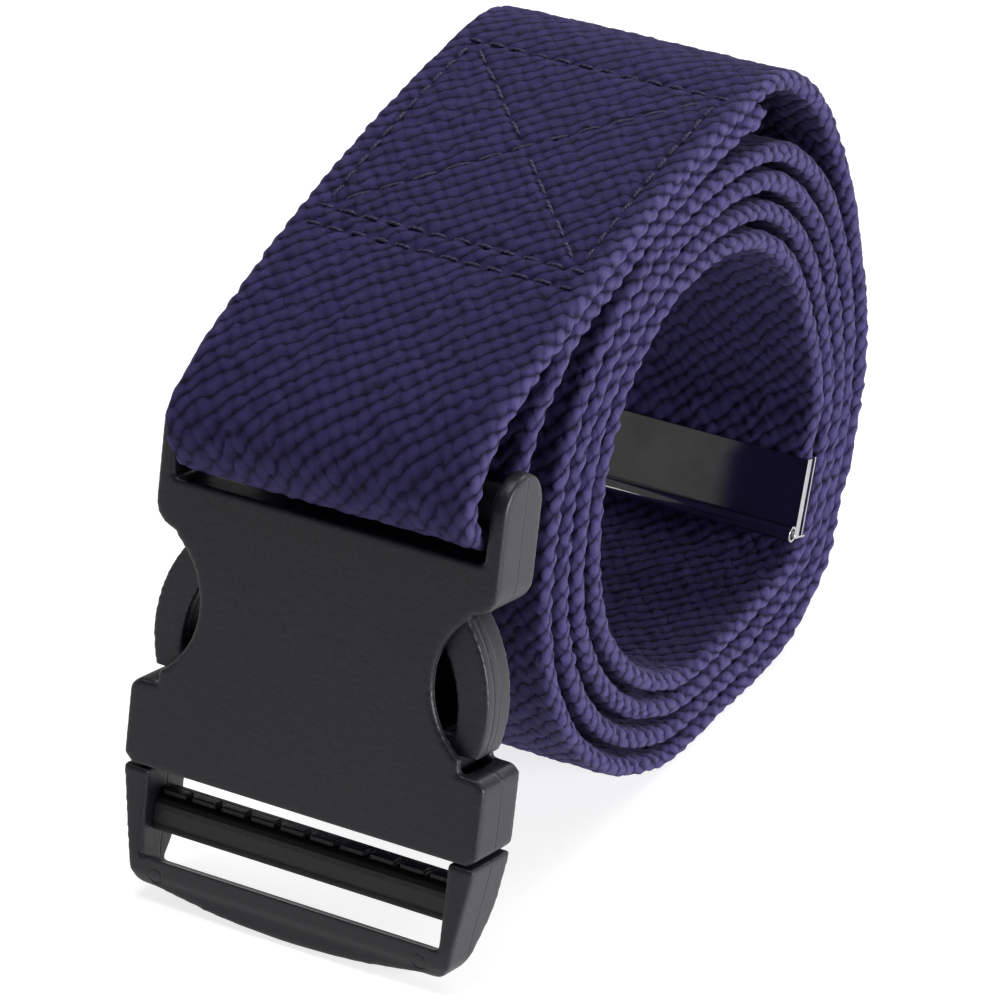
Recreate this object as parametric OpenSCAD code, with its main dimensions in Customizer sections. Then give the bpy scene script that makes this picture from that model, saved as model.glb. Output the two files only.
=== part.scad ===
// Gait belt: heavy cotton webbing rolled up on its edge, with a side-release buckle sewn to one end
// and a folded metal tip on the other. X runs across the webbing, Y from the buckle to the back of
// the roll, Z up. The origin is on the floor under the middle of the roll.

/* [Webbing] */
// Width of the webbing
web_w = 50; // [46:0.5:50.5]
// Thickness of the webbing
web_t = 3; // [2.7:0.05:3]

/* [Roll] */
// Radius of the hole at the start of the innermost turn
roll_r = 31.4; // [31.2:0.1:31.5]
// Height of the roll's middle above the floor
roll_z = 47.2; // [47:0.1:47.4]
// Distance from one turn to the next where the turns lie close
turn_pitch = 3.72; // [3.7:0.01:3.75]
// Extra distance between turns at the front, where they lie loose
front_slack = 1.2; // [1:0.05:1.3]

/* [Seam] */
// Gap between the two layers that are sewn together
seam_gap = 0.15; // [0.1:0.05:0.2]
// Diameter of the sewing thread
thread_d = 0.7; // [0.5:0.1:0.9]
// Length of one stitch
stitch = 3.6; // [3:0.1:5]

/* [Buckle] */
// Width of the socket across its shoulders
socket_w = 59.6; // [59.2:0.2:62]
// Thickness of the buckle
buckle_t = 11; // [10.6:0.1:11.4]
// Lean of the buckle away from upright
buckle_tilt = 12.4; // [11:0.2:13]
// Radius of the bar that the webbing loops round
bar_r = 3; // [2.6:0.1:3]

/* [Metal tip] */
// Length of the tip along the webbing
tip_len = 12.5; // [10:0.5:12.5]
// Thickness of the tip's sheet
tip_sheet = 0.4; // [0.3:0.1:0.4]

/* [Hidden] */
$fn = 64;

web_colour = [0.17, 0.14, 0.32];
thread_colour = [0.1, 0.08, 0.2];
plastic_colour = [0.09, 0.09, 0.1];
metal_colour = [0.75, 0.74, 0.72];
clear = 0.35;         // running clearance between moving pieces
through = 200;        // longer than anything it cuts

// --- buckle levels, measured down the buckle from the middle of the webbing bar ---
slot_floor = -(bar_r + clear + web_t + 1);
cavity_top = slot_floor - 3.2;
notch_z = -26;
notch_r = 13.2;
waist_half = 19.6;
latch_face = -36.9;
ledge = -38.9;
wide_top = -44.7;
cross_top = -45.2;
arm_z = -48;
window_top = -50.4;
mouth = -52;
toothed_top = -56.2;
toothed_low = -62.3;
window_low = -65.8;
plug_end = -71;
tab_end = -72.4;
tab_t = 3;
tab_y = -3.4;         // middle of the tab, forward of the buckle's middle

// --- buckle half-widths ---
ear_half = socket_w/2 - 1.4;
ear_in = web_w/2 + 0.7;
window_half = 25.3;
mouth_half = 27.8;
ring_half = 25.8;
plug_half = 29.7;
plug_low_half = 27.4;
wall = 1.6;
cavity_t = buckle_t - 2*wall;
arm_t = cavity_t - 2*clear - 0.3;
arm_x = 22;           // pivot of a latch arm
root_r = 1.6;

// --- where the buckle hangs: its lift tab just touches the floor ---
bar_y = -63.3;
bar_z = -tab_end*cos(buckle_tilt) + (tab_y + tab_t/2)*sin(buckle_tilt);

// --- route of the webbing's middle line, in the Y-Z plane ---
turns = 4;
turns_from = -44;     // angle at which the roll's radius is counted from
lift_at = turns*360 + 15;
floor_pitch = 3.75;
loop_r = bar_r + clear + web_t/2;

// A smooth hump: 1 at angle c, falling to 0 at 'before' degrees below it and 'after' degrees above it
function hump(a, c, before, after) =
    let (d = (a - c + 900) % 360 - 180, w = d < 0 ? before : after)
    abs(d) < w ? (1 + cos(180*d/w))/2 : 0;

// The larger of a and b, rounded where they meet
function smooth_max(a, b, w) =
    a > b + w ? a : a < b - w ? b : b + (a - b + w)*(a - b + w)/(4*w);

function pitch_at(a) =
    turn_pitch + 0.9*hump(a, 58, 85, 40) + front_slack*hump(a, 202, 85, 90)
    + 0.9*hump(a, 290, 45, 28) - 0.5*hump(a, 330, 16, 36);

// Distance of a turn's inner face from the roll's middle: the turns sag, and step out over the tip
function turn_r(a) =
    roll_r + 6.8*hump(a, 318, 26, 68) + 1.8*hump(a, 132, 60, 50) - 2.3*hump(a, 235, 75, 75)
    + pitch_at(a)*(a - turns_from)/360;

// The turns that reach the floor lie flat on it and on each other
function roll_point(a) =
    let (r = turn_r(a) + web_t/2, above = turns - 1 - floor((a - 90)/360))
    [r*cos(a), smooth_max(roll_z + r*sin(a), web_t/2 + above*floor_pitch, 1.5)];

function bezier(p, t) =
    pow(1 - t, 3)*p[0] + 3*t*pow(1 - t, 2)*p[1] + 3*t*t*(1 - t)*p[2] + t*t*t*p[3];
function unit(v) = v/norm(v);
function left_of(v) = [-v[1], v[0]];
function heading(p, i) = unit(p[min(i + 1, len(p) - 1)] - p[max(i - 1, 0)]);

// The first stretch is held straight inside the metal tip
web_end = [29.1, 20.7];
tip_dir = unit([0.33, 0.944]);

crest = [12.3, 102.9];
crest_dir = [-cos(5.7), -sin(5.7)];
nose = [-60.5, 83.5];
nose_dir = [-cos(23.5), -sin(23.5)];
function loop_point(a) = [bar_y + loop_r*cos(a), bar_z + loop_r*sin(a)];
function loop_dir(a) = [-sin(a), cos(a)];
loop_in = 262;
loop_out = 345;
lift_dir = unit(roll_point(lift_at) - roll_point(lift_at - 2));
shoulder_curve = [roll_point(lift_at), roll_point(lift_at) + 27*lift_dir, crest - 17*crest_dir, crest];
slope_curve = [crest, crest + 22.7*crest_dir, nose - 22.9*nose_dir, nose];
nose_curve = [nose, nose + 14*nose_dir, loop_point(loop_in) - 10*loop_dir(loop_in), loop_point(loop_in)];

// The tail lies under the slope, a layer and the seam's gap below it
tail_to = 0.72;
tail_drop = web_t + seam_gap;
function slope_dir(t) = unit(bezier(slope_curve, t + 0.01) - bezier(slope_curve, t - 0.01));
function tail_point(t) = bezier(slope_curve, t) + tail_drop*left_of(slope_dir(t));
under_curve = [loop_point(loop_out), loop_point(loop_out) + 4*loop_dir(loop_out),
               tail_point(tail_to) + 9*slope_dir(tail_to), tail_point(tail_to)];

web_line = concat(
    [for (i = [0, 6, 11]) web_end + i*tip_dir],
    [for (a = [-10:7.5:lift_at - 4]) roll_point(a)],
    [for (i = [0:12]) bezier(shoulder_curve, i/12)],
    [for (i = [1:12]) bezier(slope_curve, i/12)],
    [for (i = [1:12]) bezier(nose_curve, i/12)],
    [for (a = [loop_in + 13.8:13.8:loop_out]) loop_point(a)],
    [for (i = [1:8]) bezier(under_curve, i/8)],
    [for (i = [1:10]) tail_point(tail_to*(1 - i/10))]);

// The tail's cut end is turned under, which leaves a rounded edge
turned_r = web_t*0.72;

// --- seam: a box with a cross in it, and one more row nearer the buckle ---
seam_top = 0.06;
seam_low = 0.64;
row_low = 0.69;
seam_half = web_w/2 - 4;

// Turns the Y-Z plane of an outline into the model's Y-Z plane, and its thickness into X
module across(width) {
    rotate([90, 0, 90]) translate([0, 0, -width/2]) linear_extrude(width) children();
}

// Puts a buckle piece, drawn upright about the middle of the webbing bar, in its place
module on_buckle() {
    translate([0, bar_y, bar_z]) rotate([-buckle_tilt, 0, 0]) children();
}

// An outline drawn in X and Z, as seen from the front, given a thickness along Y
module slab(thickness) {
    rotate([90, 0, 0]) translate([0, 0, -thickness/2]) linear_extrude(thickness) children();
}

module webbing() {
    n = len(web_line);
    half = web_t/2;
    tail_dir = heading(web_line, n - 1);
    up = left_of(tail_dir);
    turned = web_line[n - 1] + (half - turned_r)*up;
    color(web_colour) across(web_w)
        polygon(concat(
            [for (i = [0:n - 1]) web_line[i] + half*left_of(heading(web_line, i))],
            [for (a = [75:-15:-150]) turned + turned_r*(cos(a)*tail_dir + sin(a)*up)],
            [for (i = [n - 2:-1:0]) web_line[i] - half*left_of(heading(web_line, i))]));
}

// One stitch lying on a face of the sewn layers, at x across the belt and t along the slope
module stitch_at(x, t, side, turn) {
    p = bezier(slope_curve, t);
    d = slope_dir(t);
    q = p + side*left_of(d);
    translate([x, q[0], q[1]]) rotate([atan2(d[1], d[0]), 0, 0]) rotate([0, 0, turn])
        rotate([90, 0, 0]) cylinder(h = stitch*0.72, d = thread_d, center = true, $fn = 16);
}

module seam(side) {
    long = norm(bezier(slope_curve, seam_top) - bezier(slope_curve, seam_low));
    across_n = floor(2*seam_half/stitch);
    along_n = floor(long/stitch);
    lean = atan2(2*seam_half, long);
    for (t = [seam_top, seam_low, row_low], i = [0:across_n])
        stitch_at(-seam_half + 2*seam_half*i/across_n, t, side, 90);
    for (i = [1:along_n - 1]) {
        t = seam_top + (seam_low - seam_top)*i/along_n;
        x = seam_half*(1 - 2*i/along_n);
        for (s = [-1, 1]) {
            stitch_at(s*seam_half, t, side, 0);
            if (abs(x) > stitch/2 || s > 0) stitch_at(s*x, t, side, s*lean);
        }
    }
}

// The stitches bed slightly into the cloth
bed = 0.12;

module needle_thread() {
    color(thread_colour) seam(bed - web_t/2 - thread_d/2);
}

module bobbin_thread() {
    color(thread_colour) seam(web_t*1.5 + seam_gap + thread_d/2 - bed);
}

// Folded sheet over the webbing's end: two faces, narrow side flanges and a rolled fold
module metal_tip() {
    out_t = web_t + 2*tip_sheet;
    out_w = web_w + 2*tip_sheet;
    fold_r = 1.3;
    flange = 1.5;
    color(metal_colour)
    translate([0, web_end[0], web_end[1]]) rotate([atan2(tip_dir[1], tip_dir[0]), 0, 0]) {
        difference() {
            translate([-out_w/2, -tip_sheet, -out_t/2]) cube([out_w, tip_len + tip_sheet, out_t]);
            translate([-web_w/2, 0, -web_t/2]) cube([web_w, tip_len + 1, web_t]);
            // the sides are closed only by a narrow flange of the front face
            for (s = [-1, 1]) translate([s*(web_w/2 + 1) - 1, 0, -out_t/2 - 1])
                cube([2, tip_len + 1, out_t + 1 - flange]);
        }
        translate([0, 0.5, out_t/2 + fold_r - tip_sheet]) rotate([0, 90, 0])
            difference() {
                cylinder(h = out_w, r = fold_r, center = true);
                cylinder(h = out_w + 1, r = fold_r - tip_sheet, center = true);
            }
    }
}

module socket_outline() {
    top = buckle_t/2;
    half = socket_w/2;
    ear_low = -15.2;
    difference() {
        polygon([[-ear_half, top], [ear_half, top], [ear_half, ear_low + 4],
                 [ear_half - 0.3, ear_low + 2.5], [ear_half - 1.2, ear_low + 1.2],
                 [ear_half - 2.5, ear_low + 0.3], [ear_half - 4, ear_low],
                 [ear_half - 4, notch_z], [half - 1.2, ledge], [half, ledge - 1.2],
                 [half, mouth + 1.2], [half - 1.2, mouth], [1.2 - half, mouth],
                 [-half, mouth + 1.2], [-half, ledge - 1.2], [1.2 - half, ledge],
                 [4 - ear_half, notch_z], [4 - ear_half, ear_low], [2.5 - ear_half, ear_low + 0.3],
                 [1.2 - ear_half, ear_low + 1.2], [0.3 - ear_half, ear_low + 2.5],
                 [-ear_half, ear_low + 4]]);
        translate([-ear_in, slot_floor]) square([2*ear_in, through]);
        for (s = [-1, 1]) {
            translate([s*(waist_half + notch_r), notch_z]) circle(notch_r);
            translate([s*(ring_half - 0.6 + 10) - 10, ledge]) square([20, notch_z - 10 - ledge]);
        }
    }
}

// Side view of the socket: round at the ears, straight to the mouth
module socket_profile() {
    circle(buckle_t/2);
    translate([-buckle_t/2, mouth]) square([buckle_t, -mouth]);
}

module socket_shell() {
    color(plastic_colour) on_buckle() difference() {
        intersection() {
            slab(buckle_t) socket_outline();
            across(socket_w) socket_profile();
        }
        translate([-ring_half, -cavity_t/2, mouth - 1])
            cube([2*ring_half, cavity_t, cavity_top - mouth + 1]);
        translate([-mouth_half, -cavity_t/2, mouth - 1])
            cube([2*mouth_half, cavity_t, wide_top - mouth + 1]);
    }
}

module webbing_bar() {
    color(plastic_colour) on_buckle()
        rotate([0, 90, 0]) cylinder(h = 2*ear_in, r = bar_r, center = true);
}

module plug_outline() {
    corner = 4;
    top = mouth - clear;
    difference() {
        union() {
            polygon([[-plug_half, top], [plug_half, top], [plug_low_half, plug_end + corner],
                     [plug_low_half - corner, plug_end], [corner - plug_low_half, plug_end],
                     [-plug_low_half, plug_end + corner]]);
            for (s = [-1, 1]) translate([s*(plug_low_half - corner), plug_end + corner]) circle(corner);
        }
        translate([-window_half, window_low]) square([2*window_half, through]);
    }
}

// Side view of the plug: full thickness at the mouth, thinner round the end bar
module plug_profile() {
    half = buckle_t/2;
    polygon([[-half, mouth - clear], [half, mouth - clear], [half, -60.5], [half - 0.9, -63.5],
             [half - 2.6, -66.6], [half - 4.6, plug_end + 1.3], [half - 5.6, plug_end],
             [-half + 2.4, plug_end], [-half + 1, plug_end + 0.8], [-half + 0.2, plug_end + 2.4],
             [-half, plug_end + 5]]);
}

module plug_frame() {
    pocket_r = root_r + clear;
    tab_r = 120;
    tab_half = 23.5;
    end_fall = 0.4;       // slope of the end bar's top
    color(plastic_colour) on_buckle() {
        difference() {
            intersection() {
                slab(buckle_t) plug_outline();
                across(2*socket_w) plug_profile();
            }
            // the end bar's top slopes down to the back, where the webbing leaves
            across(2*window_half)
                polygon([[-buckle_t/2, window_low], [buckle_t, window_low + 1],
                         [buckle_t, window_low - end_fall*1.5*buckle_t]]);
        }
        // necks and the cross piece that sit inside the socket's mouth
        difference() {
            translate([clear - mouth_half, -arm_t/2, mouth - clear - 1])
                cube([2*(mouth_half - clear), arm_t, cross_top - mouth + clear + 1]);
            translate([-window_half, -through/2, window_low])
                cube([2*window_half, through, window_top - window_low]);
            for (s = [-1, 1]) translate([s*arm_x, 0, arm_z]) {
                rotate([90, 0, 0]) cylinder(h = through, r = pocket_r, center = true);
                translate([-pocket_r, -through/2, 0]) cube([2*pocket_r, through, through]);
            }
        }
        // curved tab that is lifted to loosen the webbing
        translate([0, tab_y, 0]) slab(tab_t) intersection() {
            translate([0, tab_end + tab_r]) circle(tab_r, $fn = 240);
            translate([-tab_half, tab_end - 1]) square([2*tab_half, window_low - tab_end]);
        }
    }
}

module toothed_bar() {
    teeth = 10;
    tooth_w = 2*window_half/teeth;
    tooth_h = 0.8;
    top = toothed_top - tooth_h;
    low = toothed_low;
    color(plastic_colour) on_buckle() {
        // rounded front with a small lip along its lower edge
        across(2*window_half)
            polygon([[3, low], [3, top], [-1.6, top], [-2.4, top - 0.35], [-2.9, top - 1.1], [-3, top - 1.9],
                     [-3, low + 1.3], [-2.6, low + 1], [-3, low + 0.7], [-3, low]]);
        for (i = [0:teeth - 1])
            translate([-window_half + (i + 0.1)*tooth_w, -1.6, top])
                cube([tooth_w*0.8, 2.2, tooth_h]);
    }
}

module guide_tongue() {
    half = 7.6;
    tip_half = 5;
    tongue_top = -16;
    color(plastic_colour) on_buckle() slab(4)
        polygon([[-half, cross_top], [half, cross_top], [half, tongue_top - 5],
                 [tip_half, tongue_top], [-tip_half, tongue_top], [-half, tongue_top - 5]]);
}

// Right-hand arm, seen from the front: root, leg, latching foot and curved thumb pad
module arm_outline() {
    pad_x = 6;
    pad_z = -30.5;
    translate([arm_x, arm_z]) circle(root_r);
    translate([arm_x - 1.5, arm_z]) square([3, latch_face - arm_z + 1]);
    intersection() {
        translate([pad_x, pad_z]) circle(22, $fn = 120);
        union() {
            difference() {
                translate([19, latch_face]) square([12, 20.5]);
                translate([pad_x - 1.5, pad_z - 1.5]) circle(18.5, $fn = 120);
            }
            translate([arm_x - 1.5, latch_face]) square([9, 3]);
        }
    }
}

module left_latch_arm() {
    color(plastic_colour) on_buckle() slab(arm_t) mirror([1, 0]) arm_outline();
}

module right_latch_arm() {
    color(plastic_colour) on_buckle() slab(arm_t) arm_outline();
}

webbing();
needle_thread();
bobbin_thread();
metal_tip();
socket_shell();
webbing_bar();
plug_frame();
toothed_bar();
guide_tongue();
left_latch_arm();
right_latch_arm();
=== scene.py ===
import math

import bpy
import numpy as np
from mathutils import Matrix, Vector


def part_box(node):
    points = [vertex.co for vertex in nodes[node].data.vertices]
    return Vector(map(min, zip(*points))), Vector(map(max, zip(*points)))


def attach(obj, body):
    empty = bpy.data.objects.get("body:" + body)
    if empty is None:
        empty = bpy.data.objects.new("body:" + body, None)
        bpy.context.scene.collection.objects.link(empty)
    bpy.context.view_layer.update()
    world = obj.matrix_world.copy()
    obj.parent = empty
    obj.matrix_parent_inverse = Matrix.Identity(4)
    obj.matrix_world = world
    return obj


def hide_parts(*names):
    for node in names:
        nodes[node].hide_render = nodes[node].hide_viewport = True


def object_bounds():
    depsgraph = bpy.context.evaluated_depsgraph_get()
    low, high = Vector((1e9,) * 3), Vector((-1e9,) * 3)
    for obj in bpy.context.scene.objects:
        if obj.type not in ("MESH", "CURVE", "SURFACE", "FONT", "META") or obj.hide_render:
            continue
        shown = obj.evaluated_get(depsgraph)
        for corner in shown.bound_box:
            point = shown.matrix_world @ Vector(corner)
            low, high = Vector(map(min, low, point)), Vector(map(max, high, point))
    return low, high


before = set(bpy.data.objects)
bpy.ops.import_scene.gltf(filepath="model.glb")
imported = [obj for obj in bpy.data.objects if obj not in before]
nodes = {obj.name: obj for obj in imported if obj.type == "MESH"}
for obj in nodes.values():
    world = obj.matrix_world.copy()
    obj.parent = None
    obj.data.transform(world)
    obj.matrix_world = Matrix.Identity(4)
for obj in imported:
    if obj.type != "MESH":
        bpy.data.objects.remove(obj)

cad_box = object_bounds()
MM = 0.001

# ---------------------------------------------------------------- camera

TARGET = Vector((0, -0.021, 0.0441))
AZ, EL, AWAY = math.radians(30), math.radians(29), 0.825
back = Vector((math.sin(AZ) * math.cos(EL), -math.cos(AZ) * math.cos(EL), math.sin(EL)))
camera = bpy.data.objects.new("camera", bpy.data.cameras.new("camera"))
camera.location = TARGET + back * AWAY
camera.rotation_mode = "QUATERNION"
camera.rotation_quaternion = (-back).to_track_quat("-Z", "Y")
camera.data.lens, camera.data.sensor_width = 198, 36
camera.data.clip_start, camera.data.clip_end = 0.01, 20
bpy.context.scene.collection.objects.link(camera)
bpy.context.scene.camera = camera

# ---------------------------------------------------------------- where the buckle is

WEB_W, WEB_T = 50.0, 3.0
TILT = math.radians(12.4)
lo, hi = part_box("webbing_bar")
BAR = np.array([(lo[1] + hi[1]) / 2, (lo[2] + hi[2]) / 2]) / MM


def buckle_point(x, y, w):
    """Row-frame place, in metres, of a point given across, behind and up the buckle from its bar, in mm."""
    c, s = math.cos(TILT), math.sin(TILT)
    return (x * MM, (BAR[0] + y * c + w * s) * MM, (BAR[1] - y * s + w * c) * MM)


# ---------------------------------------------------------------- route of the webbing, Y-Z plane, in mm

BAR_R, CLEAR = 3, 0.35
LOOP_R = BAR_R + CLEAR + WEB_T / 2
ROLL_R, ROLL_Z = 31.4, 47.2        # the roll's hole where it starts, and its middle's height
TURNS_FROM = -44                   # angle from which the roll's radius is counted
TURN_PITCH, FRONT_SLACK = 3.72, 1.2
FLOOR_PITCH = 3.75
SEAM_GAP = 0.15
TAIL_TO = 0.72                     # how far down the slope the tail reaches, as a share of it
LOOP_IN, LOOP_OUT = 262, 345       # angles at which the webbing meets and leaves its bar
LIFT = 1455                        # angle at which the last turn leaves the roll


def unit(v):
    v = np.asarray(v, float)
    return v / np.linalg.norm(v)


def left_of(v):
    return np.array([-v[1], v[0]])


def direction(deg):
    return np.array([-math.cos(math.radians(deg)), -math.sin(math.radians(deg))])


def hump(a, c, before, after):
    d = (a - c + 900) % 360 - 180
    w = before if d < 0 else after
    return (1 + math.cos(math.pi * d / w)) / 2 if abs(d) < w else 0


def smooth_max(a, b, w):
    return a if a > b + w else b if a < b - w else b + (a - b + w) ** 2 / (4 * w)


def roll_point(a):
    pitch = (TURN_PITCH + 0.9 * hump(a, 58, 85, 40) + FRONT_SLACK * hump(a, 202, 85, 90)
             + 0.9 * hump(a, 290, 45, 28) - 0.5 * hump(a, 330, 16, 36))
    r = (ROLL_R + 6.8 * hump(a, 318, 26, 68) + 1.8 * hump(a, 132, 60, 50)
         - 2.3 * hump(a, 235, 75, 75) + pitch * (a - TURNS_FROM) / 360 + WEB_T / 2)
    above = 3 - math.floor((a - 90) / 360)
    t = math.radians(a)
    resting = WEB_T / 2 + above * FLOOR_PITCH
    return np.array([r * math.cos(t), smooth_max(ROLL_Z + r * math.sin(t), resting, 1.5)])


def bezier(p, t):
    return (1 - t) ** 3 * p[0] + 3 * t * (1 - t) ** 2 * p[1] + 3 * t * t * (1 - t) * p[2] + t ** 3 * p[3]


def loop_point(a):
    return BAR + LOOP_R * np.array([math.cos(math.radians(a)), math.sin(math.radians(a))])


def loop_dir(a):
    return np.array([-math.sin(math.radians(a)), math.cos(math.radians(a))])


WEB_END, TIP_DIR = np.array([29.1, 20.7]), unit([0.33, 0.944])
crest, crest_dir = np.array([12.3, 102.9]), direction(5.7)
nose, nose_dir = np.array([-60.5, 83.5]), direction(23.5)
lift_dir = unit(roll_point(LIFT) - roll_point(LIFT - 2))
shoulder = [roll_point(LIFT), roll_point(LIFT) + 27 * lift_dir, crest - 17 * crest_dir, crest]
slope = [crest, crest + 22.7 * crest_dir, nose - 22.9 * nose_dir, nose]
loop_start = loop_point(LOOP_IN)
nose_curve = [nose, nose + 14 * nose_dir, loop_start - 10 * loop_dir(LOOP_IN), loop_start]


def slope_dir(t):
    return unit(bezier(slope, t + 0.01) - bezier(slope, t - 0.01))


def tail_point(t):
    return bezier(slope, t) + (WEB_T + SEAM_GAP) * left_of(slope_dir(t))


loop_end, tail_start = loop_point(LOOP_OUT), tail_point(TAIL_TO)
under = [loop_end, loop_end + 4 * loop_dir(LOOP_OUT), tail_start + 9 * slope_dir(TAIL_TO), tail_start]


def webbing_route():
    """Middle line of the webbing every 0.2 mm, and how far along it each of the sewn stretches lies."""
    pts = [WEB_END + i * TIP_DIR for i in (0, 3, 6, 9, 11)]
    pts += [roll_point(a) for a in np.arange(-10, LIFT - 1.5, 1.5)]
    pts += [bezier(shoulder, i / 30) for i in range(31)]
    slope_from = len(pts) - 1
    pts += [bezier(slope, i / 60) for i in range(1, 61)]
    slope_to = len(pts) - 1
    pts += [bezier(nose_curve, i / 20) for i in range(1, 21)]
    pts += [loop_point(a) for a in np.arange(LOOP_IN + 4, LOOP_OUT + 0.1, 4)]
    pts += [bezier(under, i / 20) for i in range(1, 21)]
    pts += [tail_point(TAIL_TO * (1 - i / 40)) for i in range(1, 41)]
    nose_at = slope_to + 9
    pts = np.array(pts)
    far = np.r_[0, np.cumsum(np.linalg.norm(np.diff(pts, axis=0), axis=1))]
    s = np.arange(0, far[-1], 0.2)
    line = np.c_[np.interp(s, far, pts[:, 0]), np.interp(s, far, pts[:, 1])]
    k = np.exp(-0.5 * (np.arange(-12, 13) / 4.5) ** 2)
    k /= k.sum()
    for i in (0, 1):
        c = line[:, i]
        before, after = 2 * c[0] - c[12:0:-1], 2 * c[-1] - c[-2:-14:-1]
        line[:, i] = np.convolve(np.r_[before, c, after], k, "valid")
    return s, line, far[slope_from], far[slope_to], far[nose_at]


def directions(line):
    head = np.gradient(line, axis=0)
    head /= np.linalg.norm(head, axis=1)[:, None]
    return head, np.c_[head[:, 1], -head[:, 0]]


S, LINE, SLOPE_0, SLOPE_1, NOSE = webbing_route()
LENGTH = S[-1]
HEAD, OUT = directions(LINE)
# the stiff cloth stands off the bar in front
NOSE_BULGE = 0.4
LINE = LINE + NOSE_BULGE * np.exp(-((S - NOSE + 1) / 5) ** 2)[:, None] * OUT
HEAD, OUT = directions(LINE)


def along(s):
    """Place, heading and outward direction at distance s along the webbing."""
    got = [np.c_[np.interp(s, S, a[:, 0]), np.interp(s, S, a[:, 1])] for a in (LINE, HEAD, OUT)]
    return got[0], got[1], got[2]


# where the sewn rows lie along the webbing, on the slope and again on the tail below it
SLOPE_LEN = SLOPE_1 - SLOPE_0
ROWS = [SLOPE_0 + t * SLOPE_LEN for t in (0.06, 0.64, 0.69)]
TAIL_ROWS = [LENGTH - t * SLOPE_LEN for t in (0.06, 0.64, 0.69)]
SEAM_X = WEB_W / 2 - 4

# ---------------------------------------------------------------- weave

rng = np.random.RandomState(7)
VALUES = rng.rand(64, 64)


def soft_noise(a, b, shift=0):
    """Smooth noise from -1 to 1 over a and b."""
    a, b = a + shift * 7.3, b + shift * 3.1
    ia, ib = np.floor(a).astype(int), np.floor(b).astype(int)
    fa, fb = a - ia, b - ib
    fa, fb = fa * fa * (3 - 2 * fa), fb * fb * (3 - 2 * fb)
    g = lambda i, j: VALUES[i % 64, j % 64]
    low = g(ia, ib) * (1 - fa) + g(ia + 1, ib) * fa
    high = g(ia, ib + 1) * (1 - fa) + g(ia + 1, ib + 1) * fa
    return 2 * (low * (1 - fb) + high * fb) - 1


ENDS = 66                 # warp ends counted right round the webbing
ROW = 1.65                # distance from one pick to the next
EDGE_R = 1.25
LEAN = 0.36               # the knots lean, because their yarn is twisted
KNOT_X, KNOT_Y = 0.9, 0.86
KNOT_HIGH = 0.42          # mm
STITCH = 3.6


def section(n):
    """n places right round the webbing's section: x, t (thickness), and the outward direction of each."""
    flat, side = WEB_W - 2 * EDGE_R, WEB_T - 2 * EDGE_R
    arc = math.pi * EDGE_R / 2
    lengths = [flat / 2, arc, side, arc, flat, arc, side, arc, flat / 2]
    ends = np.cumsum(lengths)
    out = []
    for p in np.arange(n) * ends[-1] / n:
        k = int(np.searchsorted(ends, p, side="right"))
        q = p - (ends[k - 1] if k else 0)
        hx, ht = WEB_W / 2, WEB_T / 2
        if k == 0:
            out.append((q, ht, 0, 1))
        elif k == 2:
            out.append((hx, ht - EDGE_R - q, 1, 0))
        elif k == 4:
            out.append((hx - EDGE_R - q, -ht, 0, -1))
        elif k == 6:
            out.append((-hx, -ht + EDGE_R + q, -1, 0))
        elif k == 8:
            out.append((-hx + EDGE_R + q, ht, 0, 1))
        else:
            turn = {1: 90, 3: 0, 5: -90, 7: 180}[k] - math.degrees(q / EDGE_R)
            cx = (hx - EDGE_R) * (1 if k in (1, 3) else -1)
            ct = (ht - EDGE_R) * (1 if k in (1, 7) else -1)
            dx, dt = math.cos(math.radians(turn)), math.sin(math.radians(turn))
            out.append((cx + EDGE_R * dx, ct + EDGE_R * dt, dx, dt))
    return np.array(out)


def knots(u, v):
    """Height, 0 to 1, of the checkerboard of warp knots at end u and pick v."""
    wrap = lambda a: (a + 1) % 2 - 1
    best = np.zeros(np.broadcast(u, v).shape)
    for k in (0, 1):
        x = wrap(u + k)
        y = wrap(v + k + LEAN * x)
        best = np.maximum(best, 1 - (x / KNOT_X) ** 2 - (y / KNOT_Y) ** 2)
    return np.sqrt(best)


def seam_lines(x, s):
    """How strongly the seam pulls the cloth in at x and s, 0 to 1, on the slope and on the tail."""
    pull = np.zeros(np.broadcast(x, s).shape)
    for rows in (ROWS, TAIL_ROWS):
        a, b = min(rows[0], rows[1]), max(rows[0], rows[1])
        across = (np.abs(x) < SEAM_X + 1)
        for r in rows:
            pull = np.maximum(pull, np.exp(-((s - r) / 0.8) ** 2) * across)
        inside = (s > a - 1) & (s < b + 1)
        pull = np.maximum(pull, np.exp(-((np.abs(x) - SEAM_X) / 0.8) ** 2) * inside)
        d = SEAM_X * (1 - 2 * (s - a) / (b - a))
        pull = np.maximum(pull, 0.8 * np.exp(-((np.abs(x) - np.abs(d)) / 0.9) ** 2) * inside)
    return pull


def make_mesh(name, verts, faces, uv=None, smooth=True):
    me = bpy.data.meshes.new(name)
    me.from_pydata([tuple(v) for v in verts], [], faces)
    if uv is not None:
        layer = me.uv_layers.new(name="weave")
        layer.data.foreach_set("uv", np.asarray(uv, np.float32).ravel())
    if smooth:
        me.polygons.foreach_set("use_smooth", np.ones(len(me.polygons), bool))
    me.validate()
    me.update()
    ob = bpy.data.objects.new(name, me)
    bpy.context.scene.collection.objects.link(ob)
    return ob


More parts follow.
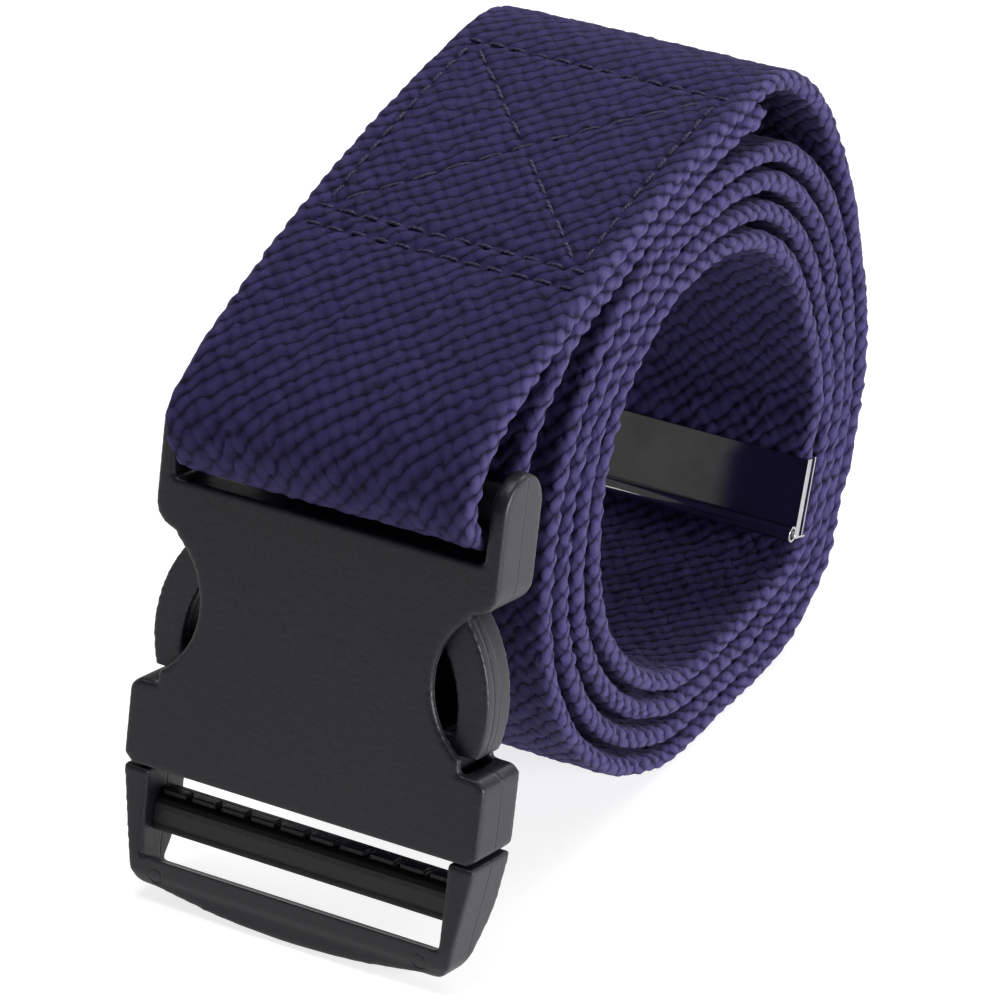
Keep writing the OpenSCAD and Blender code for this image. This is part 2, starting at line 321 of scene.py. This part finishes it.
def make_webbing():
    around = 198
    sec = section(around)
    turned = WEB_T * 0.72
    extra = np.array([0.3, 0.7, 1.1, 1.45, 1.75, 1.95, 2.08, 2.14])
    s = np.r_[np.arange(0, 270, ROW / 3), np.arange(270, LENGTH - 430, ROW / 2),
              np.arange(LENGTH - 430, LENGTH - 0.3, ROW / 3), LENGTH, LENGTH + extra]
    at, head, out = along(np.minimum(s, LENGTH))
    over = np.maximum(s - LENGTH, 0)[:, None]
    at = at + over * head
    # the tail's cut end is turned under, so it bulges away from the slope above it, which is outwards
    d = s - LENGTH
    round_end = np.sqrt(np.maximum(turned ** 2 - np.clip(d, -turned, turned) ** 2, 0.02))
    shift = WEB_T / 2 - turned
    outer = np.where(d < -turned, WEB_T / 2, np.maximum(np.where(d < 0, WEB_T / 2, 0), round_end - shift))
    inner = np.where(d < 0, WEB_T / 2, round_end + shift)
    x, t, nx, nt = sec.T
    u = np.arange(around) * ENDS / around
    v = s / ROW
    uu, vv = np.meshgrid(u, v)
    xx, ss = np.meshgrid(x, s)
    lag = 0.22 * soft_noise(uu * 0.45, vv * 0.16, 1) + 0.24 * soft_noise(uu * 1.1, vv * 0.9, 5)
    slip = (0.34 * soft_noise(uu * 0.9, vv * 0.3, 2) + 0.28 * soft_noise(uu * 1.3, vv * 1.1, 9)
            + 0.5 * soft_noise(uu * 0.1, vv * 0.06, 3))
    # the phase noise closes up where the ends meet under the webbing
    close = np.clip(np.minimum(uu, ENDS - uu) / 3, 0, 1)
    pu, pv = uu + lag * close, vv + slip * close
    high = knots(pu, pv)
    amount = KNOT_HIGH * (1 + 0.4 * soft_noise(uu * 0.9, vv * 0.9, 4))
    h = -0.34 + amount * high
    pull = seam_lines(xx, ss) * (np.abs(xx) < WEB_W / 2 - 1)
    h = h - 0.38 * pull
    selvage = np.abs(nx)[None, :] > 0.6
    h = h - 0.22 * selvage * (0.5 + 0.5 * np.cos(2 * np.pi * vv / 2 + np.sign(nx)[None, :]))
    h = h + 0.08 * soft_noise(uu * 0.12, vv * 0.07, 6)
    edge = 0.18 * soft_noise(vv * 0.22, np.sign(xx) * 4.5, 8) * (np.abs(xx) > 15)
    # it also spreads a little there, and sits towards the left
    flare = np.exp(-((ss - NOSE + 1) / 5) ** 2)
    X = xx + nx * h + edge * np.sign(xx) + flare * (0.03 * xx - 0.5)
    t_side = np.where(t[None, :] > 0, outer[:, None], inner[:, None]) / (WEB_T / 2)
    off = t[None, :] * t_side + nt * h
    Y = at[:, 0:1] + off * out[:, 0:1]
    Z = at[:, 1:2] + off * out[:, 1:2]
    Z = np.maximum(Z, 0.02)
    verts = np.stack([X, Y, Z], -1).reshape(-1, 3) * MM
    rows = len(s)
    i, j = np.meshgrid(np.arange(rows - 1), np.arange(around), indexing="ij")
    k = (j + 1) % around
    here, above = i * around, (i + 1) * around
    quads = np.stack([here + j, here + k, above + k, above + j], -1).reshape(-1, 4)
    pu1 = np.concatenate([pu, pu[:, :1] + ENDS], 1)
    pv1 = np.concatenate([pv, pv[:, :1]], 1)
    uv = np.stack([np.stack([pu1[i, j], pv1[i, j]], -1), np.stack([pu1[i, j + 1], pv1[i, j + 1]], -1),
                   np.stack([pu1[i + 1, j + 1], pv1[i + 1, j + 1]], -1),
                   np.stack([pu1[i + 1, j], pv1[i + 1, j]], -1)], -2).reshape(-1, 2)
    faces = quads.tolist()
    faces.append(list(range(around))[::-1])
    faces.append([(rows - 1) * around + q for q in range(around)])
    caps = np.zeros((2 * around, 2))
    caps[:, 0] = np.r_[u[::-1], u]
    caps[:around, 1], caps[around:, 1] = v[0], v[-1]
    return make_mesh("webbing_cloth", verts, faces, np.r_[uv, caps])


# ---------------------------------------------------------------- stitches


def tube(path, radius, sides=8):
    """Verts, faces and uv of a closed tube along path (n, 3), with rounded ends."""
    n = len(path)
    t = np.gradient(path, axis=0)
    t /= np.linalg.norm(t, axis=1)[:, None]
    ref = np.array([1.0, 0, 0]) if abs(t[0][0]) < 0.8 else np.array([0, 1.0, 0])
    verts = []
    for k in range(n):
        a = np.cross(t[k], ref)
        a /= np.linalg.norm(a)
        b = np.cross(t[k], a)
        r = radius if 0 < k < n - 1 else radius * 0.45
        for q in range(sides):
            w = 2 * math.pi * q / sides
            verts.append(path[k] + r * (math.cos(w) * a + math.sin(w) * b))
    faces, uv = [], []
    for k in range(n - 1):
        for q in range(sides):
            p = (q + 1) % sides
            faces.append([k * sides + q, k * sides + p, (k + 1) * sides + p, (k + 1) * sides + q])
            uv += [(q / sides, k), ((q + 1) / sides, k), ((q + 1) / sides, k + 1), (q / sides, k + 1)]
    faces.append(list(range(sides))[::-1])
    faces.append([(n - 1) * sides + q for q in range(sides)])
    uv += [(q / sides, 0) for q in range(sides)] + [(q / sides, n - 1) for q in range(sides)]
    return verts, faces, uv


def make_seam(name, rows):
    """The row of stitches of one thread, lying in the grooves of the cloth."""
    verts, faces, uv = [], [], []
    a, b = rows[0], rows[1]
    long = abs(b - a)
    n_x, n_s = int(2 * SEAM_X // STITCH), int(long // STITCH)
    ends = []
    for r in rows:
        for i in range(n_x + 1):
            x = -SEAM_X + 2 * SEAM_X * i / n_x
            ends.append((x - 1.5, r, x + 1.5, r))
    for i in range(1, n_s):
        s = a + (b - a) * i / n_s
        ds = (b - a) / n_s * 0.42
        x = SEAM_X * (1 - 2 * i / n_s)
        dx = SEAM_X / n_s * 0.84
        for q in (-1, 1):
            ends.append((q * SEAM_X, s - ds, q * SEAM_X, s + ds))
            if abs(x) > STITCH / 2 or q > 0:
                ends.append((q * (x + dx), s - ds, q * (x - dx), s + ds))
    rnd = np.random.RandomState(3)
    for x0, s0, x1, s1 in ends:
        wob = rnd.uniform(-0.15, 0.15, 4)
        f = np.linspace(0, 1, 9)
        x = np.clip(x0 + wob[0] + (x1 - x0 + wob[1] - wob[0]) * f, -WEB_W / 2 + 1.5, WEB_W / 2 - 1.5)
        s = s0 + wob[2] + (s1 - s0 + wob[3] - wob[2]) * f
        p, _, out = along(s)
        lift = WEB_T / 2 - 0.68 + 0.46 * np.sin(math.pi * f) ** 0.6
        path = np.c_[x, p + out * lift[:, None]]
        v, fc, w = tube(path * MM, 0.27 * MM)
        base = len(verts)
        verts += v
        faces += [[q + base for q in face] for face in fc]
        uv += w
    return make_mesh(name, verts, faces, uv)


# ---------------------------------------------------------------- materials


class Graph:
    """Short hand for building a material's nodes."""

    def __init__(self, name):
        self.mat = bpy.data.materials.new(name)
        self.mat.use_nodes = True
        self.tree = self.mat.node_tree
        self.bsdf = self.tree.nodes["Principled BSDF"]

    def put(self, socket, value):
        if isinstance(value, bpy.types.NodeSocket):
            self.tree.links.new(value, socket)
        else:
            socket.default_value = value

    def add(self, kind, inputs=None, **props):
        n = self.tree.nodes.new("ShaderNode" + kind)
        for k, v in props.items():
            setattr(n, k, v)
        for k, v in (inputs or {}).items():
            self.put(n.inputs[k], v)
        return n

    def math(self, op, *args):
        n = self.tree.nodes.new("ShaderNodeMath")
        n.operation = op
        for k, v in enumerate(args):
            self.put(n.inputs[k], v)
        return n.outputs[0]

    def noise(self, scale, detail=3.0, rough=0.5, vector=None):
        n = self.add("TexNoise", {"Scale": scale, "Detail": detail, "Roughness": rough})
        self.put(n.inputs["Vector"], vector or self.place())
        return n.outputs["Fac"]

    def place(self):
        if not hasattr(self, "_place"):
            self._place = self.add("TexCoord").outputs["Object"]
        return self._place

    def ramp(self, fac, *stops):
        n = self.add("ValToRGB", {"Fac": fac})
        r = n.color_ramp
        while len(r.elements) < len(stops):
            r.elements.new(0.5)
        for e, (at, colour) in zip(r.elements, stops):
            e.position = at
            e.color = (*colour, 1) if hasattr(colour, "__len__") else (colour, colour, colour, 1)
        return n.outputs["Color"]

    def spread(self, fac, a, b, lo=0.0, hi=1.0):
        n = self.add("MapRange", {"Value": fac, "From Min": lo, "From Max": hi, "To Min": a, "To Max": b})
        return n.outputs["Result"]

    def mix(self, fac, a, b):
        n = self.add("Mix", data_type="RGBA")
        self.put(n.inputs["Factor"], fac)
        ins = [i for i in n.inputs if i.type == "RGBA"]
        for socket, v in zip(ins, (a, b)):
            self.put(socket, v if isinstance(v, bpy.types.NodeSocket) else (*v, 1))
        return [o for o in n.outputs if o.type == "RGBA"][0]

    def bump(self, height, distance, normal=None, strength=1.0):
        n = self.add("Bump", {"Height": height, "Distance": distance, "Strength": strength})
        if normal is not None:
            self.put(n.inputs["Normal"], normal)
        return n.outputs["Normal"]

    def done(self, **values):
        for k, v in values.items():
            self.put(self.bsdf.inputs[k.replace("_", " ")], v)
        return self.mat


def cloth_material():
    g = Graph("navy_webbing")
    sep = g.add("SeparateXYZ", {0: g.add("UVMap", uv_map="weave").outputs[0]})
    u, v = sep.outputs[0], sep.outputs[1]
    m = g.math

    def knot(k):
        x = m("WRAP", m("ADD", u, float(k)), 1.0, -1.0)
        y = m("WRAP", m("MULTIPLY_ADD", x, LEAN, m("ADD", v, float(k))), 1.0, -1.0)
        x, y = m("DIVIDE", x, KNOT_X), m("DIVIDE", y, KNOT_Y)
        return m("SUBTRACT", m("SUBTRACT", 1.0, m("MULTIPLY", x, x)), m("MULTIPLY", y, y))

    high = m("SQRT", m("MAXIMUM", m("MAXIMUM", knot(0), knot(1)), 0.0))
    # painted highlight: the selvages' knot crowns are painted paler than the faces, standing in for the light
    # from the right that catches them
    edge = m("ABSOLUTE", m("SUBTRACT", m("PINGPONG", u, ENDS / 2), ENDS / 4))
    edge = g.spread(edge, 1.0, 0.0, 0.2, 2.6)
    # fibres run along each yarn with its twist
    twisted = m("MULTIPLY_ADD", v, -2.2, m("MULTIPLY", u, 5.5))
    fibre_at = g.add("CombineXYZ", {0: twisted, 1: m("MULTIPLY", v, 1.3), 2: 0.0}).outputs[0]
    fibre = g.noise(2.2, 4.0, 0.65, fibre_at)
    mottle = g.noise(420.0, 3.0, 0.6)
    broad = g.noise(45.0, 2.0, 0.5)
    fuzz = g.noise(2600.0, 2.0, 0.6)
    # painted shade: the colour ramp below darkens the cloth where the knots are low, in the gaps between them
    # where shade falls
    tone = m("ADD", m("MULTIPLY", high, 0.62), m("MULTIPLY", fibre, 0.42))
    tone = m("ADD", tone, m("MULTIPLY", m("SUBTRACT", mottle, 0.5), 0.9))
    colour = g.ramp(tone, (0.10, (0.0022, 0.0017, 0.0085)), (0.40, (0.0085, 0.0064, 0.036)),
                    (0.66, (0.0195, 0.0150, 0.074)), (1.0, (0.040, 0.033, 0.125)))
    colour = g.mix(g.spread(broad, 0.0, 0.3), colour, (0.016, 0.0110, 0.080))
    # painted highlight: the selvages' knot crowns are mixed towards a paler colour
    colour = g.mix(m("MULTIPLY", edge, m("MULTIPLY", m("POWER", high, 3.0), 0.6)), colour,
                   (0.090, 0.078, 0.19))
    n = g.bump(high, 0.00045)
    n = g.bump(fibre, 0.00015, n)
    n = g.bump(fuzz, 0.00006, n)
    g.done(Base_Color=colour, Roughness=g.spread(mottle, 0.8, 1.0), Normal=n, Sheen_Weight=0.08,
           Sheen_Roughness=0.45, Specular_IOR_Level=0.25)
    g.bsdf.inputs["Sheen Tint"].default_value = (0.62, 0.56, 0.95, 1)
    return g.mat


def thread_material():
    g = Graph("navy_thread")
    sep = g.add("SeparateXYZ", {0: g.add("UVMap", uv_map="weave").outputs[0]})
    along_it = g.math("MULTIPLY", sep.outputs[1], 3.1)
    twist = g.math("SINE", g.math("MULTIPLY_ADD", sep.outputs[0], 12.566, along_it))
    twist = g.spread(twist, 0.0, 1.0, -1.0, 1.0)
    fibre = g.noise(3000.0, 3.0)
    # painted shade: the colour ramp darkens the thread in the grooves of its twist, where shade falls
    tone = g.math("ADD", g.math("MULTIPLY", twist, 0.6), g.math("MULTIPLY", fibre, 0.5))
    colour = g.ramp(tone, (0.1, (0.007, 0.0055, 0.026)), (0.9, (0.022, 0.0175, 0.074)))
    n = g.bump(fibre, 0.00004, g.bump(twist, 0.00012))
    return g.done(Base_Color=colour, Roughness=g.spread(fibre, 0.6, 0.85), Normal=n, Sheen_Weight=0.15,
                  Sheen_Roughness=0.4)


def buckle_material(name, grain=0.00002, groove=False, marks=False, dark=1.0):
    """Moulded black plastic: spark grain, flow marks, paler colour along sharp convex edges, and a parting
    line round the middle.
    """
    g = Graph(name)
    m = g.math
    turn = g.add("VectorRotate", {"Vector": g.place(), "Center": buckle_point(0, 0, 0), "Angle": TILT},
                 rotation_type="X_AXIS")
    sub = g.add("VectorMath", {0: turn.outputs[0], 1: buckle_point(0, 0, 0)}, operation="SUBTRACT")
    local = sub.outputs[0]
    sep = g.add("SeparateXYZ", {0: local})
    x, y, z = sep.outputs
    fine = g.noise(5200.0, 2.0, 0.6, local)
    coarse = g.noise(900.0, 3.0, 0.6, local)
    flow = g.noise(22.0, 3.0, 0.6, local)
    line = g.spread(m("ABSOLUTE", y), 0.0, 1.0, 0.00008, 0.00028)
    n = g.bump(fine, grain)
    n = g.bump(coarse, 0.00006, n)
    n = g.bump(line, 0.00015, n)
    if groove:
        side = m("ABSOLUTE", m("ADD", y, 0.0016))
        n = g.bump(g.spread(side, 0.0, 1.0, 0.0001, 0.0004), 0.0003, n)
    if marks:
        # round ejector-pin marks near the end bar's lower corners
        aside, below = m("SUBTRACT", m("ABSOLUTE", x), 0.0225), m("ADD", z, 0.0683)
        away = m("SQRT", m("ADD", m("MULTIPLY", aside, aside), m("MULTIPLY", below, below)))
        ring = m("SUBTRACT", away, 0.0011)
        n = g.bump(g.spread(m("ABSOLUTE", ring), 0.0, 1.0, 0.00008, 0.00025), 0.0002, n)
    # the colour is made paler along sharp convex edges, picked out by pointiness
    convex_edge_pale = g.add("NewGeometry").outputs["Pointiness"]
    convex_edge_pale = g.spread(convex_edge_pale, 0.0, 1.0, 0.52, 0.62)
    tone = g.ramp(coarse, (0.25, tuple(c * dark for c in (0.0065, 0.0055, 0.0085))),
                  (0.75, tuple(c * dark for c in (0.0115, 0.0098, 0.0140))))
    tone = g.mix(m("MULTIPLY", convex_edge_pale, 0.35), tone, (0.06, 0.058, 0.063))
    tone = g.mix(g.spread(line, 0.5, 0.0), tone, (0.004, 0.004, 0.005))
    rough = m("ADD", g.spread(flow, 0.36, 0.5), m("MULTIPLY", m("SUBTRACT", fine, 0.5), 0.1))
    return g.done(Base_Color=tone, Roughness=rough, Normal=n, Specular_IOR_Level=0.36)


def metal_material():
    g = Graph("bright_plate")
    stretched = g.add("Mapping", {"Vector": g.place(), "Scale": (1.0, 12.0, 12.0)}).outputs[0]
    lines = g.noise(900.0, 3.0, 0.6, stretched)
    blotch = g.noise(160.0, 3.0)
    colour = g.ramp(blotch, (0.3, (0.34, 0.33, 0.34)), (0.7, (0.44, 0.43, 0.44)))
    return g.done(Base_Color=colour, Metallic=1.0, Roughness=g.spread(lines, 0.02, 0.07),
                  Normal=g.bump(lines, 0.000004))


def set_material(ob, mat):
    if ob.data.materials:
        for i in range(len(ob.data.materials)):
            ob.material_slots[i].material = mat
    else:
        ob.data.materials.append(mat)


# ---------------------------------------------------------------- pieces

cloth, thread, metal = cloth_material(), thread_material(), metal_material()
webbing = make_webbing()
set_material(webbing, cloth)
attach(webbing, "belt")
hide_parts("webbing")

needle = make_seam("needle_stitches", ROWS)
bobbin = make_seam("bobbin_stitches", TAIL_ROWS)
for ob, name in ((needle, "needle_thread"), (bobbin, "bobbin_thread")):
    set_material(ob, thread)
    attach(ob, "belt")
    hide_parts(name)

plastic = buckle_material("black_plastic")
grained = buckle_material("black_plastic_grained", grain=0.00006, dark=0.7)
padded_side = buckle_material("black_plastic_ribbed", groove=True, dark=1.3)
for name in ("socket_shell", "webbing_bar", "guide_tongue"):
    set_material(nodes[name], plastic)
set_material(nodes["plug_frame"], buckle_material("black_plastic_marked", marks=True))
set_material(nodes["toothed_bar"], grained)
set_material(nodes["left_latch_arm"], padded_side)
set_material(nodes["right_latch_arm"], padded_side)
set_material(nodes["metal_tip"], metal)


def soften(name, width, segments=3, angle=32):
    """Moulded edges are never sharp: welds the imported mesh, merges its flat facets and rounds its edges."""
    ob = nodes[name]
    weld = ob.modifiers.new("weld", "WELD")
    weld.merge_threshold = 0.00001
    flat = ob.modifiers.new("flat", "DECIMATE")
    flat.decimate_type, flat.angle_limit = "DISSOLVE", math.radians(1.5)
    edge = ob.modifiers.new("edge", "BEVEL")
    edge.width, edge.segments = width, segments
    edge.limit_method, edge.angle_limit = "ANGLE", math.radians(angle)
    edge.miter_outer = "MITER_ARC"
    edge.harden_normals = True


def melt(name, rounds):
    """Rounds every edge of a moulding: remeshes it evenly and smooths it, more with more rounds."""
    ob = nodes[name]
    weld = ob.modifiers.new("weld", "WELD")
    weld.merge_threshold = 0.00001
    even = ob.modifiers.new("even", "REMESH")
    even.mode, even.voxel_size, even.use_smooth_shade = "VOXEL", 0.0003, True
    smooth = ob.modifiers.new("smooth", "SMOOTH")
    smooth.factor, smooth.iterations = 0.5, rounds


for name, rounds in (("socket_shell", 24), ("plug_frame", 16), ("left_latch_arm", 10),
                     ("right_latch_arm", 10)):
    melt(name, rounds)
for name, width in (("toothed_bar", 0.00025), ("guide_tongue", 0.0004), ("metal_tip", 0.0001)):
    soften(name, width)

# ---------------------------------------------------------------- floor and light


def floor_material():
    g = Graph("pale_floor")
    patch = g.noise(9.0, 2.0)
    colour = g.ramp(patch, (0.3, (0.40, 0.40, 0.41)), (0.7, (0.43, 0.43, 0.435)))
    return g.done(Base_Color=colour, Roughness=0.7, Emission_Color=(1, 1, 1, 1), Emission_Strength=0.78)


FLOOR_HALF = 3
corners = [(x * FLOOR_HALF, y * FLOOR_HALF, 0) for x, y in ((-1, -1), (1, -1), (1, 1), (-1, 1))]
floor = make_mesh("floor", corners, [[0, 1, 2, 3]], smooth=False)
floor.location.z = cad_box[0][2] - 0.00005
set_material(floor, floor_material())


def area_light(name, place, size, power, colour=(1, 1, 1)):
    data = bpy.data.lights.new(name, "AREA")
    data.shape, data.size, data.size_y = "RECTANGLE", size[0], size[1]
    data.energy, data.color = power, colour
    ob = bpy.data.objects.new(name, data)
    ob.location = place
    ob.rotation_mode = "QUATERNION"
    ob.rotation_quaternion = (Vector((0, -0.01, 0.05)) - Vector(place)).to_track_quat("-Z", "Y")
    bpy.context.scene.collection.objects.link(ob)


area_light("right_box", (1.1, -0.02, 0.2), (0.3, 0.3), 14, (1.0, 0.985, 1.0))
area_light("back_box", (0.2, 1.0, 0.7), (0.7, 0.5), 6)
area_light("top_box", (-0.15, 0.0, 1.1), (0.5, 0.5), 7)
area_light("left_box", (-1.1, 0.1, 0.25), (0.9, 0.9), 3)

world = bpy.data.worlds.new("studio")
world.use_nodes = True
world.node_tree.nodes["Background"].inputs[0].default_value = (1, 1, 1, 1)
world.node_tree.nodes["Background"].inputs[1].default_value = 0.11
bpy.context.scene.world = world
bpy.context.scene.view_settings.view_transform = "Standard"
